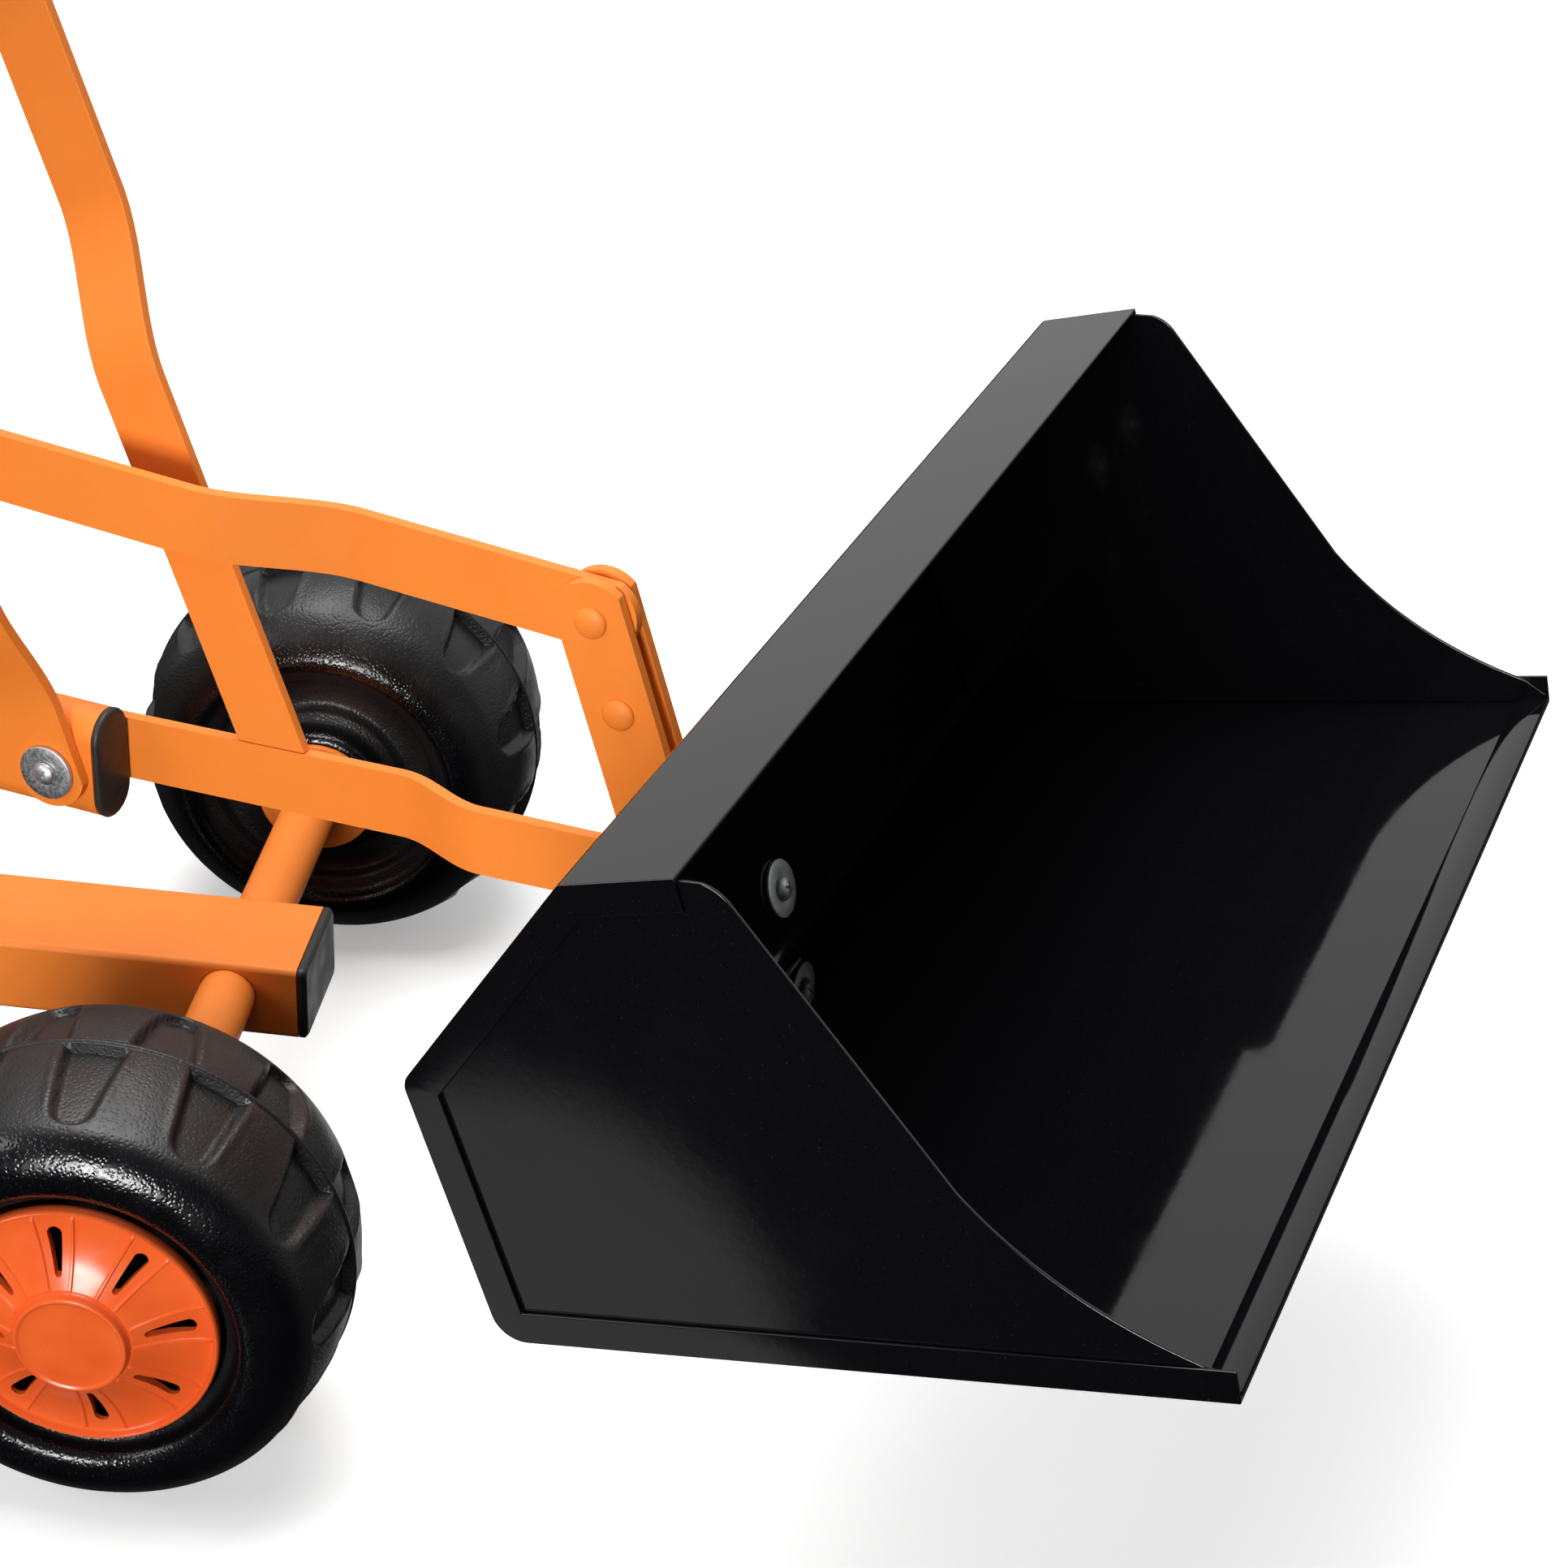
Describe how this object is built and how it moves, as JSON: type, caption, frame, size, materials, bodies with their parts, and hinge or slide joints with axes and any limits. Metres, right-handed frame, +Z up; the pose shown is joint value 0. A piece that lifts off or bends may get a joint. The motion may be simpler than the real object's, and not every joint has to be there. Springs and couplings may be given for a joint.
{
  "type": "ride-on toy digger",
  "caption": "Ride-on toy digger: wheeled steel chassis, slewing seat, hand levers and a wide front shovel on a lifting arm.",
  "frame": {"origin": "centre of the whole object's footprint, at the ground under the wheels", "axes": "+Z up; the chassis is square to the frame and its front, with the bucket, faces -Y; +X is the left side seen by the rider; the upper frame rests turned 14.9 degrees clockwise, seen from above"},
  "size_m": [0.7142, 1.1238, 0.6678],
  "materials": {
    "orange_powder_coat": "satin powder coat",
    "black_gloss_paint": "gloss",
    "black_plastic": "fine grain",
    "tyre_plastic": "moulded leather grain",
    "black_grip": "matt",
    "hub_cap_plastic": "gloss",
    "zinc_plate": "bright zinc"
  },
  "bodies": {
    "chassis": {"main_beam": "orange_powder_coat", "beam_cap_front": "black_plastic", "beam_cap_rear": "black_plastic", "axle_tube_front": "orange_powder_coat", "axle_tube_rear": "orange_powder_coat", "axle_rod_front": "zinc_plate", "axle_rod_rear": "zinc_plate", "axle_nut_front_left": "zinc_plate", "axle_nut_front_right": "zinc_plate", "axle_nut_rear_left": "zinc_plate", "axle_nut_rear_right": "zinc_plate", "post_base_plate": "orange_powder_coat", "slew_post": "orange_powder_coat", "bearing_ring": "black_plastic"},
    "wheel_front_left_spinning": {"wheel_front_left": "tyre_plastic", "hub_cap_front_left": "hub_cap_plastic"},
    "wheel_front_right_spinning": {"wheel_front_right": "tyre_plastic", "hub_cap_front_right": "hub_cap_plastic"},
    "wheel_rear_left_spinning": {"wheel_rear_left": "tyre_plastic", "hub_cap_rear_left": "hub_cap_plastic"},
    "wheel_rear_right_spinning": {"wheel_rear_right": "tyre_plastic", "hub_cap_rear_right": "hub_cap_plastic"},
    "upper_frame": {"turntable_plate": "orange_powder_coat", "oval_tube": "orange_powder_coat", "tube_cap_front": "black_plastic", "tube_cap_rear": "black_plastic", "slew_bolt": "zinc_plate", "slew_nut": "zinc_plate", "seat_riser_front": "orange_powder_coat", "seat_riser_rear": "orange_powder_coat", "seat": "black_plastic", "pivot_bolt": "zinc_plate", "pivot_washer": "zinc_plate", "pivot_nut": "zinc_plate"},
    "boom": {"lower_arm": "orange_powder_coat", "left_lever": "orange_powder_coat", "left_grip": "black_grip"},
    "tilt_lever": {"right_lever": "orange_powder_coat", "right_grip": "black_grip", "lever_pin": "zinc_plate"},
    "tilt_link": {"tilt_rod": "orange_powder_coat"},
    "bucket": {"bucket_sheet": "black_gloss_paint", "bucket_side_left": "black_gloss_paint", "bucket_side_right": "black_gloss_paint", "ear_bracket": "orange_powder_coat", "ear_left": "orange_powder_coat", "ear_right": "orange_powder_coat", "top_rivet": "orange_powder_coat", "lower_rivet": "orange_powder_coat", "bucket_pivot_bolt": "zinc_plate", "bucket_pivot_nut": "zinc_plate", "bucket_screw_left": "zinc_plate", "bucket_screw_right": "zinc_plate", "bucket_washer_left": "zinc_plate", "bucket_washer_right": "zinc_plate", "bucket_nut_left": "zinc_plate", "bucket_nut_right": "zinc_plate"}
  },
  "joints": [
    {"name": "wheel_front_left_spin", "type": "hinge", "parent": "chassis", "child": "wheel_front_left_spinning", "pos_m": [0.2896, 0.0059, 0.1], "axis": [1, 0, 0], "continuous": true},
    {"name": "wheel_front_right_spin", "type": "hinge", "parent": "chassis", "child": "wheel_front_right_spinning", "pos_m": [-0.1304, 0.0059, 0.1], "axis": [1, 0, 0], "continuous": true},
    {"name": "wheel_rear_left_spin", "type": "hinge", "parent": "chassis", "child": "wheel_rear_left_spinning", "pos_m": [0.2896, 0.4619, 0.1], "axis": [1, 0, 0], "continuous": true},
    {"name": "wheel_rear_right_spin", "type": "hinge", "parent": "chassis", "child": "wheel_rear_right_spinning", "pos_m": [-0.1304, 0.4619, 0.1], "axis": [1, 0, 0], "continuous": true},
    {"name": "slew", "type": "hinge", "parent": "chassis", "child": "upper_frame", "pos_m": [0.0796, 0.2339, 0.2], "axis": [0, 0, 1], "range_deg": [-5, 34.8]},
    {"name": "boom_lift", "type": "hinge", "parent": "upper_frame", "child": "boom", "pos_m": [0.03486, 0.06575, 0.2296], "axis": [-0.9664, 0.2571, 0], "range_deg": [-25, 20]},
    {"name": "tilt_lever_swing", "type": "hinge", "parent": "boom", "child": "tilt_lever", "pos_m": [0.03486, 0.06575, 0.2296], "axis": [0.9664, -0.2571, 0], "range_deg": [-10, 40]},
    {"name": "bucket_tilt", "type": "hinge", "parent": "boom", "child": "bucket", "pos_m": [-0.03845, -0.20976, 0.2409], "axis": [0.9664, -0.2571, 0], "range_deg": [-12, 47.5]},
    {"name": "tilt_rod_swing", "type": "hinge", "parent": "tilt_lever", "child": "tilt_link", "pos_m": [0.04669, 0.1102, 0.3735], "axis": [0.9664, -0.2571, 0], "range_deg": [-39.5, 10]}
  ],
  "couplings": [
    {"joint": "bucket_tilt", "follows": "tilt_lever_swing", "ratio": 1.182},
    {"joint": "tilt_rod_swing", "follows": "tilt_lever_swing", "ratio": -0.98}
  ]
}
